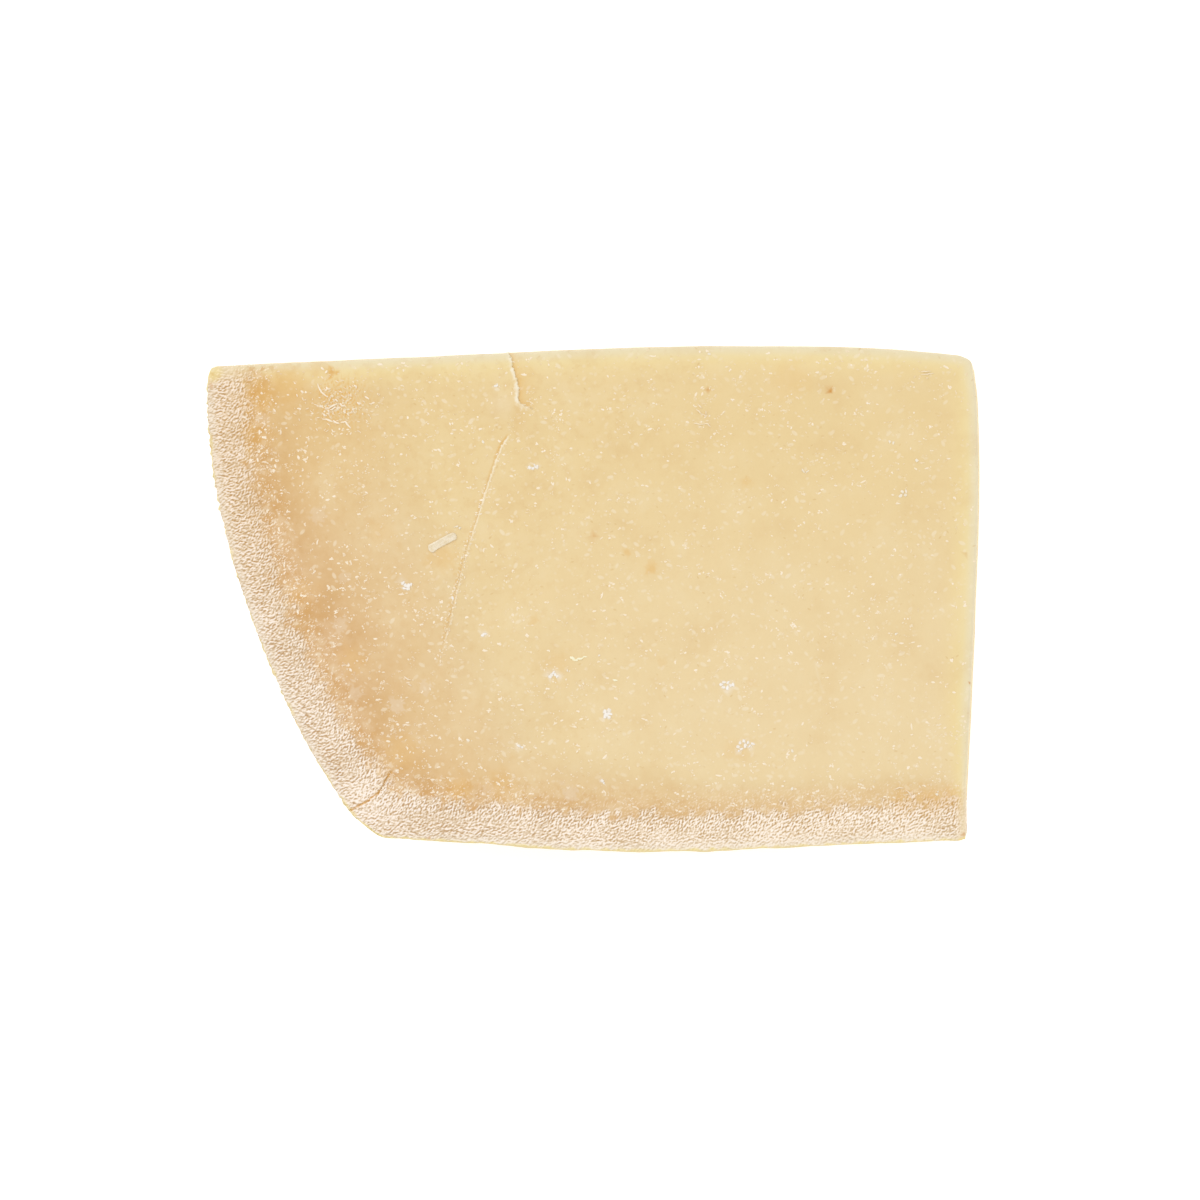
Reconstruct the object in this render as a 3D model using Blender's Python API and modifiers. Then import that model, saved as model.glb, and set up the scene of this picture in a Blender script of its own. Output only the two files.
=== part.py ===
"""A chunk of hard grating cheese: a wedge of the lower half of a drum-shaped wheel, lying on one radial cut.

The wheel's axis runs along Y. The section of the wedge, drawn in the XY plane, is bounded by the bulging heel
of the wheel on the left, the flat side of the wheel (the plate) below, a bowed wire cut at half height above
and a short cut near the centre of the wheel on the right. The section is spun about the axis by the wedge's
angle, which gives the rind its true curvature and the two large cut faces their taper.
Metres, +Z up, origin under the middle of the piece.
"""

import math

import bmesh
import bpy
from mathutils import Matrix, Vector

MM = 0.001

WHEEL_RADIUS = 200.0 * MM  # from the axis to the widest part of the heel
WEDGE_ANGLE = math.radians(360.0 / 32)  # the wheel halved five times
SECTION_LENGTH = 146.5 * MM  # heel to the cut near the centre
AXIS_X = WHEEL_RADIUS - SECTION_LENGTH / 2
SPIN_STEPS = 8  # facets across the curved rind

CENTRE_CUT_RADIUS = 56.0 * MM  # the cut near the centre lies inside this radius
STRAIGHTEN_FADE = 14.0 * MM

CUT_EDGE_ROUND = 0.8 * MM  # the slightly worn edges that the wire leaves
EDGE_SEGMENTS = 2
SHARP_ANGLE = math.radians(35)  # edges sharper than this are rounded

CURVE_STEPS = 4  # straight pieces between two points of the section's outline

# The section's outline in millimetres, with X from the middle of its length and Y from the middle of its height.
# Each side runs through its points as one smooth curve, and the sides meet at corners.
HEEL = (
    (-72.8, 43.8),
    (-73.2, 37.5),
    (-72.6, 29.5),
    (-71.2, 19.0),
    (-67.1, 3.0),
    (-61.3, -12.6),
    (-54.6, -27.0),
    (-46.9, -39.4),
)
WORN_CORNER = (
    (-46.9, -39.4),
    (-44.6, -42.3),
    (-41.2, -44.9),
    (-39.4, -45.6),
)
PLATE = (
    (-39.4, -45.6),
    (-21.0, -46.8),
    (-3.0, -48.1),
    (16.0, -48.3),
    (35.0, -47.6),
    (53.0, -46.7),
    (71.1, -46.1),
)
CENTRE_CUT = (
    (71.1, -46.1),
    (71.1, -38.0),
    (72.1, -20.0),
    (73.1, 3.0),
    (73.5, 22.0),
    (73.2, 37.0),
    (72.9, 42.4),
)
ROUND_CORNER = (
    (72.9, 42.4),
    (72.1, 45.1),
    (69.6, 46.3),
)
TOP_CUT = (
    (69.6, 46.3),
    (51.0, 47.7),
    (27.0, 48.0),
    (4.0, 47.6),
    (-18.0, 46.6),
    (-45.0, 45.4),
    (-72.8, 43.8),
)
SIDES = (HEEL, WORN_CORNER, PLATE, CENTRE_CUT, ROUND_CORNER, TOP_CUT)

CHEESE_COLOUR = (0.84, 0.65, 0.36, 1.0)
CHEESE_ROUGHNESS = 0.55


def clear_scene():
    for obj in list(bpy.data.objects):
        bpy.data.objects.remove(obj)


def new_collection(name):
    collection = bpy.data.collections.new(name)
    bpy.context.scene.collection.children.link(collection)
    return collection


def cheese_material():
    material = bpy.data.materials.new("cheese")
    material.use_nodes = True
    shader = material.node_tree.nodes["Principled BSDF"]
    shader.inputs["Base Color"].default_value = CHEESE_COLOUR
    shader.inputs["Roughness"].default_value = CHEESE_ROUGHNESS
    shader.inputs["Metallic"].default_value = 0.0
    return material


def smooth_side(anchors):
    """Points along a smooth curve through the anchors, without the last one, which starts the next side."""
    knots = [Vector(p) * MM for p in anchors]
    before = [2 * knots[0] - knots[1], *knots, 2 * knots[-1] - knots[-2]]
    line = []
    for i in range(1, len(before) - 2):
        a, b, c, d = before[i - 1 : i + 3]
        for step in range(CURVE_STEPS):
            t = step / CURVE_STEPS
            line.append(
                0.5
                * (
                    2 * b
                    + (c - a) * t
                    + (2 * a - 5 * b + 4 * c - d) * t**2
                    + (3 * b - 3 * c + d - a) * t**3
                )
            )
    return line


def section_outline():
    return [point for side in SIDES for point in smooth_side(side)]


def straighten_centre_cut(shape):
    """Fills the slight hollow that the spin leaves in the cut near the centre, which a wire cuts straight across."""
    half = WEDGE_ANGLE / 2
    for vert in shape.verts:
        radius = math.hypot(AXIS_X - vert.co.x, vert.co.z)
        angle = math.atan2(vert.co.z, AXIS_X - vert.co.x)
        amount = 1.0 - min(max((radius - CENTRE_CUT_RADIUS) / STRAIGHTEN_FADE, 0.0), 1.0)
        radius *= 1.0 + amount * (math.cos(half) / math.cos(angle - half) - 1.0)
        vert.co.x = AXIS_X - radius * math.cos(angle)
        vert.co.z = radius * math.sin(angle)


def spun_wedge(name, collection):
    """The section as one face in the XY plane, spun about the wheel's axis."""
    shape = bmesh.new()
    corners = [shape.verts.new((p.x, p.y, 0.0)) for p in section_outline()]
    section = shape.faces.new(corners)
    bmesh.ops.spin(
        shape,
        geom=[section, *section.edges, *section.verts],
        cent=(AXIS_X, 0.0, 0.0),
        axis=(0.0, 1.0, 0.0),
        angle=WEDGE_ANGLE,
        steps=SPIN_STEPS,
        use_merge=False,
        use_duplicate=False,
    )
    straighten_centre_cut(shape)
    bmesh.ops.recalc_face_normals(shape, faces=shape.faces)
    mesh = bpy.data.meshes.new(name)
    shape.to_mesh(mesh)
    shape.free()
    obj = bpy.data.objects.new(name, mesh)
    collection.objects.link(obj)
    return obj


def round_cut_edges(obj):
    bevel = obj.modifiers.new("worn cut edges", "BEVEL")
    bevel.width = CUT_EDGE_ROUND
    bevel.segments = EDGE_SEGMENTS
    bevel.limit_method = "ANGLE"
    bevel.angle_limit = SHARP_ANGLE


def stand_on_origin(obj):
    """Moves the mesh so that the origin lies under the middle of its box, on the face that it rests on."""
    bpy.context.view_layer.update()
    evaluated = obj.evaluated_get(bpy.context.evaluated_depsgraph_get())
    corners = [Vector(c) for c in evaluated.bound_box]
    low = Vector(min(c[i] for c in corners) for i in range(3))
    high = Vector(max(c[i] for c in corners) for i in range(3))
    middle = (low + high) / 2
    obj.data.transform(Matrix.Translation((-middle.x, -middle.y, -low.z)))


def main():
    clear_scene()
    collection = new_collection("Grana chunk")
    chunk = spun_wedge("cheese_chunk", collection)
    chunk.data.materials.append(cheese_material())
    round_cut_edges(chunk)
    stand_on_origin(chunk)
    chunk.data.shade_smooth()
    chunk.data.set_sharp_from_angle(angle=SHARP_ANGLE)


main()
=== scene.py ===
"""Looks of a wedge of hard grating cheese with its natural rind.

The wedge lies on one radial cut, with the other radial cut up. Lengths are in millimetres until a mesh is made.
A place on the wedge is given by its section, x from the heel towards the wheel's centre and y from the plate
towards the cut at half height, and by t, how far below the upper cut it lies.
"""

import math

import bmesh
import bpy
import numpy as np
from mathutils import Matrix, Vector


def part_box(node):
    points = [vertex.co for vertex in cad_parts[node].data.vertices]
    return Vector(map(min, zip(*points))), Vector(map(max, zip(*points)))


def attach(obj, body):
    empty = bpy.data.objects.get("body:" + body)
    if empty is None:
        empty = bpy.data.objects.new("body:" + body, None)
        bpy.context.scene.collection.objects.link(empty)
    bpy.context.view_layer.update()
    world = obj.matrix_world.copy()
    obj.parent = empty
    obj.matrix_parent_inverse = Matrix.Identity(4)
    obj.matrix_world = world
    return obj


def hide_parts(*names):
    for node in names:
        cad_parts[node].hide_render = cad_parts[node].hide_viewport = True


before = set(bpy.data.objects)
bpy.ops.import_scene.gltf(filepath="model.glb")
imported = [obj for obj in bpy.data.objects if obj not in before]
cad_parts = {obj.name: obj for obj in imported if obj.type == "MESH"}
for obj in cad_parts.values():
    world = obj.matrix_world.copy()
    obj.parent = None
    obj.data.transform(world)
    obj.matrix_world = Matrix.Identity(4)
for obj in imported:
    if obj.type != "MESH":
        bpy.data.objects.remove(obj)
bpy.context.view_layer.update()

METRE = 1000.0
PX = 0.19  # one pixel of the photograph on the upper cut
PHOTO_SIDE = 1200  # pixels

# The wheel and the wedge, as in the CAD model
WHEEL_RADIUS = 200.0
WEDGE_ANGLE = math.radians(360.0 / 32)
SECTION_LENGTH = 146.5
AXIS_X = WHEEL_RADIUS - SECTION_LENGTH / 2
CENTRE_CUT_RADIUS = 56.0
STRAIGHTEN_FADE = 14.0

HEEL = ((-72.9, 44.2), (-73.2, 37.5), (-72.6, 29.5), (-71.2, 19.0), (-67.1, 3.0), (-61.3, -12.6), (-54.6, -27.0),
        (-46.9, -39.4))
WORN_CORNER = ((-46.9, -39.4), (-44.6, -41.95), (-41.2, -44.75), (-39.4, -45.6))
PLATE = ((-39.4, -45.6), (-21.0, -46.65), (-3.0, -47.85), (16.0, -48.05), (35.0, -47.45), (53.0, -46.6),
         (71.0, -46.0))
CENTRE_CUT = ((71.0, -46.0), (70.9, -38.0), (71.8, -20.0), (72.8, 3.0), (73.3, 22.0), (73.0, 37.0), (72.4, 42.4))
ROUND_CORNER = ((72.4, 42.4), (71.9, 45.1), (69.6, 46.3))
TOP_CUT = ((69.6, 46.3), (51.0, 47.7), (27.0, 48.0), (4.0, 47.6), (-18.0, 46.6), (-45.0, 45.4), (-72.9, 44.2))

# The rind and what ageing does to the paste next to it
BAND_WIDTH = 7.6  # the torn rind, from the outside in
FRINGE = 3.0  # where the torn ridges thin out into single flecks
AGED_FROM_HEEL = 45.0
RIDGE_DEPTH = 0.13
FRINGE_RISE = 0.08  # of the single ridges inside the band
TORN_RISE = 0.12  # of the places that the knife tore
EDGE_WEAR = 0.5


def px(x, y):
    """Section place of a pixel of the photograph."""
    return ((x - 592.5) * PX, (598.5 - y) * PX)


def px_line(*numbers):
    """A line through pixels of the photograph, given as x and y in turn."""
    return np.array([px(*pair) for pair in zip(numbers[::2], numbers[1::2])])


STEP_CRACK = px_line(507, 350, 511, 357, 513, 368, 517, 380, 519, 391, 518, 399, 521, 404, 526, 406)
HAIR_CRACK = px_line(510, 433, 501, 446, 496, 458, 491, 473, 484, 494, 476, 521, 468, 544, 462, 566, 456, 590, 452, 608,
                     445, 636, 437, 672)
RIND_CRACK = px_line(346, 813, 356, 807, 366, 802, 379, 792, 386, 779, 394, 768)
SCRATCH = px_line(815, 662, 818, 676, 823, 692)
FIRST_TORN, SECOND_TORN = (-47.0, 37.0), (20.6, 34.4)  # places that the knife tore

# Spots on the upper cut: pixel of the photograph, radius in mm and strength
BROWN_SPECKS = ((830.4, 391.8, 0.40, 1.0), (708, 390, 0.28, 0.7), (967, 554, 0.26, 0.9), (970, 683, 0.24, 1.0),
                (332, 372, 0.50, 0.4), (593, 536, 0.45, 0.5), (211, 386, 0.5, 0.35), (211, 438, 0.4, 0.3),
                (964, 834, 0.5, 0.6), (429, 838, 0.35, 0.5))
AMBER_SPOTS = ((331.5, 372, 0.85, 1.0), (652, 569, 1.15, 0.8), (627, 552, 0.75, 0.7), (746, 482, 1.0, 0.5),
               (534, 621, 0.9, 0.45), (662, 662, 1.0, 0.3), (751, 682, 1.0, 0.3))
# Deeper amber tones of the paste; the one at 442, 556 is painted shade around the grated shred
DEEP_TONES = ((352, 660, 2.8, 0.30), (402, 752, 3.6, 0.34), (500, 786, 3.4, 0.28), (460, 789, 2.6, 0.42),
              (904, 802, 2.6, 0.30), (930, 801, 2.8, 0.36), (951, 799, 2.4, 0.34), (262, 396, 3.6, 0.42),
              (254, 432, 3.0, 0.34), (286, 385, 4.0, 0.40), (320, 366, 2.6, 0.28), (302, 592, 3.0, 0.24),
              (560, 668, 2.6, 0.2), (384, 532, 2.8, 0.2), (442, 556, 3.2, 0.3), (790, 380, 4.0, 0.2),
              (740, 750, 2.4, 0.24))
PALE_SPOTS = ((397, 706, 1.5, 0.9), (355, 693, 1.3, 0.7), (318, 515, 1.5, 0.6), (340, 625, 1.4, 0.7),
              (425, 687, 1.3, 0.7), (570, 794, 1.5, 0.8), (345, 577, 1.2, 0.6), (488, 789, 1.5, 0.7),
              (262, 420, 1.5, 0.6))

# Lumps of the crystals: pixel of the photograph, length and width in pixels
CRYSTALS = (
    (402.8, 583.4, 4.5, 2.2), (405.5, 585.6, 4, 3), (408.6, 585.2, 4.6, 3.4), (411.2, 584.2, 3, 2.2),
    (404.2, 588.4, 4.4, 2.2), (407.6, 588.6, 4.4, 2.6), (529.8, 467.6, 3.4, 3), (532.6, 468.6, 3, 2.4),
    (536.2, 466.8, 4.4, 3.6), (534.4, 464.8, 2, 1.6), (549.8, 676.6, 4, 3.2), (551.6, 674.6, 3.6, 3),
    (553.4, 672.4, 3.4, 2.8), (555.2, 674.4, 3.2, 2.4), (557.2, 676.4, 3, 2.2), (604.8, 711.8, 4.4, 3.4),
    (608.8, 710.6, 4.6, 3.6), (606.2, 714.6, 5, 4), (610.2, 714, 3.6, 3), (605, 717, 3.6, 2.6), (608.8, 717.6, 4.2, 3),
    (721.4, 684.6, 3.6, 3), (723.8, 682.2, 3.8, 2.6), (728, 682.8, 4, 2.6), (730.4, 685.4, 3.6, 2.8),
    (733, 684.6, 3.6, 2.2), (727.4, 687.8, 4.6, 2.8), (723.4, 687.2, 3.6, 2.4), (738.2, 746.8, 3.4, 2.8),
    (740, 743, 3.8, 2.6), (743.8, 741.2, 4, 2.6), (748.2, 742.6, 3.4, 2.4), (752.8, 744, 4, 2.2),
    (745.6, 745.8, 4.4, 3),
    (741.4, 749, 3.4, 2), (749.8, 746, 3, 2), (738.6, 751, 2.2, 1.6), (602, 781, 3.4, 3), (604, 783, 2, 1.8),
    (483, 635, 4.6, 2.6), (485.4, 634, 2.2, 2), (496, 386, 3.6, 2.6), (452.4, 598, 2.8, 2.6), (519, 746, 4, 2.2),
    (522, 747.4, 2.6, 2))
FAINT_CRYSTALS = (
    (900.4, 495.8, 3.6, 2.8), (902.4, 492, 3.6, 3), (906, 491.4, 3.2, 2.4), (905.2, 495, 3.2, 2.8),
    (889.6, 441.8, 3, 2.4), (893.4, 443, 3, 2.2), (917.2, 460.4, 3.4, 3), (709, 354, 3, 2.2), (792, 789, 3.6, 2.4),
    (468, 740, 3.6, 2.2), (483, 442, 3, 2.4), (896, 634, 3.4, 2.2), (792, 751, 3, 2.2), (937, 794, 3, 2.4),
    (599.2, 655.2, 2.2, 2), (567.4, 670.6, 2.6, 1.6), (456.8, 526.4, 3.4, 2.2), (459.6, 528.2, 2.6, 2),
    (803, 470.6, 4.4, 1.8), (807.4, 471.4, 3.6, 1.6))


# ---------------------------------------------------------------- small tools

def smoothstep(low, high, value):
    t = np.clip((value - low) / (high - low), 0.0, 1.0)
    return t * t * (3.0 - 2.0 * t)


def mix(a, b, share):
    return a + (b - a) * share


def bell(value, width):
    """1 at nought, fading to 0 over about three widths."""
    return np.exp(-0.5 * (value / width) ** 2)


def crease(value, width):
    """Profile of a narrow crease or lip, 1 on its line."""
    return np.exp(-((value / width) ** 2))


def far_from(x, y, place):
    return np.hypot(x - place[0], y - place[1])


def smooth_side(anchors, steps=8):
    """Points along a smooth curve through the anchors, without the last one, which starts the next side."""
    knots = [np.array(p, float) for p in anchors]
    knots = [2 * knots[0] - knots[1], *knots, 2 * knots[-1] - knots[-2]]
    line = []
    for a, b, c, d in zip(knots, knots[1:], knots[2:], knots[3:]):
        for t in np.arange(steps) / steps:
            line.append(0.5 * (2 * b + (c - a) * t + (2 * a - 5 * b + 4 * c - d) * t**2
                               + (3 * b - 3 * c + d - a) * t**3))
    return line


def along(line):
    return np.concatenate([[0.0], np.cumsum(np.hypot(*np.diff(line, axis=0).T))])


def at(line, run):
    """Places at these distances along a line."""
    reach = along(line)
    return np.stack([np.interp(run, reach, line[:, i]) for i in (0, 1)], -1)


def distance_to(line, x, y):
    """Distance of each place from a line of points, on which side of it the place is, and how far along."""
    best, side, where = (np.full(np.shape(x), value) for value in (np.inf, 0.0, 0.0))
    reach = along(line)
    for a, b, start in zip(line[:-1], line[1:], reach):
        step = b - a
        length = math.hypot(*step)
        if length < 1e-6:
            continue
        t = np.clip(((x - a[0]) * step[0] + (y - a[1]) * step[1]) / length**2, 0.0, 1.0)
        dx, dy = x - a[0] - t * step[0], y - a[1] - t * step[1]
        distance = np.hypot(dx, dy)
        nearer = distance < best
        best = np.where(nearer, distance, best)
        side = np.where(nearer, np.sign(step[0] * dy - step[1] * dx), side)
        where = np.where(nearer, start + t * length, where)
    return best, side, where


# ---------------------------------------------------------------- the section

def closed_outline(step=0.4, softness=0.9):
    """The section's outline, anticlockwise from the top of the heel, evenly spaced, with softened corners."""
    sides = (HEEL, WORN_CORNER, PLATE, CENTRE_CUT, ROUND_CORNER, TOP_CUT)
    line = np.array([p for side in sides for p in smooth_side(side)] + [HEEL[0]])
    even = at(line, np.arange(0.0, along(line)[-1], step))
    offsets = np.arange(-4, 5)
    weights = bell(offsets, softness)
    line = sum(w * np.roll(even, -o, axis=0) for o, w in zip(offsets, weights)) / weights.sum()
    handled = np.maximum(smoothstep(3.4, 1.2, far_from(*line.T, HEEL[0])),
                         0.5 * smoothstep(1.7, 0.5, far_from(*line.T, PLATE[-1])))[:, None]
    for _ in range(9):
        line = mix(line, (np.roll(line, 1, axis=0) + np.roll(line, -1, axis=0)) / 2, handled)
    return line


OUTLINE = closed_outline()


def outline_part(start, end):
    """The stretch of the outline from the place nearest to start, anticlockwise to the one nearest to end."""
    first, last = (int(np.argmin(np.hypot(*(OUTLINE - p).T))) for p in (start, end))
    if last <= first:
        last += len(OUTLINE)
    return OUTLINE[np.arange(first, last + 1) % len(OUTLINE)]


CORNERS = (HEEL[0], WORN_CORNER[1], PLATE[-1], ROUND_CORNER[1])
SIDES = [outline_part(start, end) for start, end in zip(CORNERS, CORNERS[1:] + CORNERS[:1])]
HEEL_LINE, PLATE_LINE, CENTRE_LINE, TOP_LINE = SIDES

MAP_CORNER = (-82.0, -57.0)
MAP_STEP = 0.5
map_x, map_y = np.meshgrid(np.arange(329) * MAP_STEP + MAP_CORNER[0], np.arange(229) * MAP_STEP + MAP_CORNER[1])


def depth_map(line):
    """Distance from one side of the section at every place of the map, negative outside it."""
    distance, side, _ = distance_to(line, map_x, map_y)
    return distance * side


def read_map(values, x, y):
    """Value of a map at any place."""
    i = np.clip((x - MAP_CORNER[0]) / MAP_STEP, 0, values.shape[1] - 1.001)
    j = np.clip((y - MAP_CORNER[1]) / MAP_STEP, 0, values.shape[0] - 1.001)
    return blend_four(values, i, j)


def blend_four(values, i, j):
    rows, columns = values.shape
    left, low = np.floor(i).astype(int), np.floor(j).astype(int)
    fx, fy = i - left, j - low
    left, right = left % columns, (left + 1) % columns
    low, high = low % rows, (low + 1) % rows
    return mix(mix(values[low, left], values[low, right], fx), mix(values[high, left], values[high, right], fx), fy)


HEEL_DEPTH, PLATE_DEPTH, CENTRE_DEPTH, TOP_DEPTH = (depth_map(line) for line in SIDES)
INSIDE = np.minimum(np.minimum(HEEL_DEPTH, PLATE_DEPTH), np.minimum(CENTRE_DEPTH, TOP_DEPTH))
INWARD_Y, INWARD_X = np.gradient(INSIDE, MAP_STEP)


def inward(x, y):
    """The way in from the nearest side of the section, 1 long."""
    nx, ny = read_map(INWARD_X, x, y), read_map(INWARD_Y, x, y)
    size = np.maximum(np.hypot(nx, ny), 1e-6)
    return nx / size, ny / size


def rind_depths(x, y):
    """Depths below the heel and below the plate."""
    return read_map(HEEL_DEPTH, x, y), read_map(PLATE_DEPTH, x, y)


def rind_depth(x, y):
    return np.minimum(*rind_depths(x, y))


def plate_is_nearer(heel, plate):
    return smoothstep(-3.0, 3.0, heel - plate)


# ---------------------------------------------------------------- noise sheets

SHEET_SIZE = 1024
SHEET_STEP = 0.1
WHITE = np.fft.fft2(np.random.default_rng(7).standard_normal((SHEET_SIZE, SHEET_SIZE)))
freq_x, freq_y = np.meshgrid(np.fft.fftfreq(SHEET_SIZE, SHEET_STEP), np.fft.fftfreq(SHEET_SIZE, SHEET_STEP))
freq = np.hypot(freq_x, freq_y)
freq_angle = np.degrees(np.arctan2(freq_y, freq_x))


def sheet_of(kept):
    """An endlessly repeating sheet of random waves, with a share kept of each length and direction."""
    kept[0, 0] = 0.0
    sheet = np.fft.ifft2(WHITE * kept).real
    return sheet / sheet.std()


def noise_sheet(pitch):
    """Random waves about pitch long."""
    return sheet_of(bell(freq * pitch - 1.0, 0.5))


def ridge_sheet(run):
    """Short torn ridges of every width down to half a millimetre, mostly along one direction, in degrees."""
    off = (freq_angle - run) % 180.0 - 90.0
    return sheet_of(smoothstep(0.2, 1.3, freq) * smoothstep(2.5, 1.8, freq) * bell(off, 40.0))


def read_sheet(sheet, x, y):
    """Value of a sheet at any place."""
    return blend_four(sheet, x / SHEET_STEP, y / SHEET_STEP)


RIDGE_TURN = 15.0
RIDGES = [ridge_sheet(RIDGE_TURN * k) for k in range(6)]
COARSE_WAVES, HAND_WAVES, SMALL_WAVES, GRIT = (noise_sheet(pitch) for pitch in (22.0, 7.0, 2.6, 0.8))


def ridges_along(angle, x, y):
    """Torn ridges that follow a direction which changes from place to place."""
    k = np.clip(angle / RIDGE_TURN, 0, len(RIDGES) - 1.001)
    value = np.zeros(np.shape(x))
    for i, sheet in enumerate(RIDGES):
        share = np.clip(1.0 - np.abs(k - i), 0.0, 1.0)
        used = share > 0
        value[used] += share[used] * read_sheet(sheet, x[used], y[used])
    part = k - np.floor(k)
    return value / np.maximum(np.hypot(part, 1 - part), 0.85)


# ---------------------------------------------------------------- what the cut shows at each place

def ageing(x, y):
    """From 0 in the pale middle of the paste to 1 right inside the rind."""
    heel, plate = rind_depths(x, y)
    from_plate = mix(15.5 + (plate - 8.5) * 2.1, 24.0 + (plate - 8.5) * 3.4, smoothstep(-25.0, 45.0, x))
    nearest = -5.0 * np.log(np.exp(-np.clip(heel, 0, 90) / 5.0) + np.exp(-np.clip(from_plate, 0, 90) / 5.0))
    age = np.clip((AGED_FROM_HEEL - nearest) / (AGED_FROM_HEEL - 8.5), 0.0, 1.0)
    age = age + 0.14 * bell(x + 42.0, 13.0) * bell(y + 6.0, 11.0)
    age = age + 0.10 * bell(plate - 9.0, 1.6) * smoothstep(10.0, 14.0, heel)
    return np.clip(age, 0.0, 1.0) * mix(0.62, 1.0, smoothstep(0.0, 2.2, read_map(TOP_DEPTH, x, y)))


def pale_heart(x, y):
    """How much paler the paste is made, which grows downwards, towards the plate, and away from the heel."""
    return smoothstep(40.0, -22.0, y) * mix(0.6, 1.0, smoothstep(-30.0, 30.0, x))


def torn_rind(x, y, a, b, on_cut=True):
    """Torn ridges at a section place, as waves about nought that sink away inside the band, and the share of the
    band. a and b are the place in the pattern. On the two radial cuts they calm down towards the free rims."""
    heel, plate = rind_depths(x, y)
    depth = np.minimum(heel, plate)
    by_plate = plate_is_nearer(heel, plate)
    angle = mix(15.0, 41.0, smoothstep(1.0, 7.0, depth)) + by_plate * (6.0 + 14.0 * smoothstep(0.0, 45.0, x))
    wave = ridges_along(angle + 7.0 * read_sheet(HAND_WAVES, a + 40, b), a, b)
    inner = BAND_WIDTH + (0.4 - 0.8 * smoothstep(-10.0, 4.0, x) + 0.6 * smoothstep(40.0, 60.0, x)) * by_plate
    inner = inner + 0.55 * read_sheet(SMALL_WAVES, a, b + 31) + 0.45 * read_sheet(HAND_WAVES, a, b)
    inner = inner + mix(0.15, 0.8, smoothstep(-5.0, -30.0, y)) * (1.0 - by_plate)
    inner = inner + 1.5 * bell(x + 39.5, 4.8) * bell(y + 34.0, 4.8)
    gone = np.clip((depth - inner + 1.2) / FRINGE, 0.0, 1.0)
    ridge = (wave - 3.3 * gone) * (1.0 + 0.7 * gone)
    upper = smoothstep(-8.0, 8.0, y) * (1.0 - by_plate)
    band = 1.0 - smoothstep(inner - mix(1.6, 1.1, by_plate) - 1.0 * upper,
                            inner + mix(1.0, 0.6, by_plate) + 1.2 * upper, depth)
    ridge = ridge * mix(0.55, 1.0, smoothstep(0.0, 1.3, depth))
    calm = smoothstep(0.1, 3.4, read_map(TOP_DEPTH, x, y)) * smoothstep(-0.3, 2.4, read_map(CENTRE_DEPTH, x, y))
    calm = np.where(on_cut, calm, 1.0)
    corner = np.where(on_cut, smoothstep(1.4, 4.0, np.hypot(x + 73.4, y - 43.8)), 1.0)
    ridge = mix(0.3, ridge, mix(0.25, 1.0, calm)) * corner - 3.0 * (1.0 - corner)
    band = band * mix(0.15, 1.0, corner) * mix(mix(0.8, 0.15, smoothstep(2.0, 7.0, depth)), 1.0, calm)
    return np.clip(ridge, -3.5, 3.5), band


def crest_of(ridge):
    return smoothstep(-1.5, 1.7, ridge)


def crack_relief(x, y):
    """Height, torn pale lips and painted amber shadow along the cracks of the upper cut."""
    height, lip, shade = (np.zeros(np.shape(x)) for _ in range(3))
    ragged = read_sheet(GRIT, x + 11, y)

    def cloud(i, j, wide, tall):
        return bell(x - px(i, j)[0], wide) * bell(y - px(i, j)[1], tall)

    far, side, run = distance_to(STEP_CRACK, x, y)
    signed = far * side + 0.10 * ragged  # positive to the right of the crack
    fade = smoothstep(0.0, 1.0, 13.0 - run)
    height += fade * (0.24 * np.exp(-np.abs(signed) / 5.0) * smoothstep(0.10, -0.12, signed)
                      - 0.12 * np.exp(-np.abs(signed) / 0.7) * smoothstep(-0.1, 0.12, signed))
    height -= 0.10 * cloud(518, 416, 0.9, 2.0)
    uneven = mix(0.4, 1.0, smoothstep(-0.8, 0.7, read_sheet(SMALL_WAVES, x * 1.4 + 17, y * 1.4)))
    lip += fade * uneven * smoothstep(-0.95, -0.25, signed) * smoothstep(0.12, -0.05, signed)
    lip += 0.22 * cloud(502, 404, 1.7, 1.7)
    # Painted shadow to the right of the raised step, and in the soft dip below it
    shade += fade * 0.5 * smoothstep(0.0, 0.16, signed) * np.exp(-np.maximum(signed - 0.16, 0.0) / 0.9)
    shade += 0.12 * cloud(518, 416, 0.9, 2.0) + 0.15 * cloud(525, 378, 1.2, 2.8)

    far, side, run = distance_to(HAIR_CRACK, x, y)
    torn = smoothstep(19.0, 23.0, run)
    signed = -far * side + (0.05 + 0.16 * torn) * ragged
    fade = smoothstep(0.0, 1.5, run) * smoothstep(47.0, 38.0, run)
    groove = crease(signed, mix(0.13, 0.20, torn)) * (0.5 + 0.5 * smoothstep(-0.9, 0.4, ragged))
    height += fade * (0.06 * crease(signed + 0.30, 0.25) - 0.12 * groove
                      + torn * 0.07 * smoothstep(0.1, 1.2, ragged) * crease(signed, 0.9))
    lip += fade * 0.95 * crease(signed + 0.16, 0.15) * mix(1.0, smoothstep(-0.4, 0.7, ragged), torn)
    lip += fade * torn * 0.55 * smoothstep(0.15, 1.2, ragged) * crease(signed - 0.25, 0.55)
    # Painted shade in the groove and along its right side
    shade += fade * (0.3 * groove + mix(0.35, 0.7, smoothstep(7.0, 3.0, run)) * crease(signed - 0.22, 0.2))

    far, side, run = distance_to(RIND_CRACK, x, y)
    groove = smoothstep(-0.1, 1.0, 12.6 - run) * crease(far * side + 0.05 * ragged, 0.19)
    height -= 0.30 * groove
    # Painted shade in the groove of the rind crack
    shade += groove

    far = distance_to(SCRATCH, x, y)[0]
    height -= 0.03 * crease(far, 0.15)
    lip += 0.16 * crease(far, 0.22)
    return height, np.clip(lip, 0, 1), np.clip(shade, 0, 1)


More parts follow.
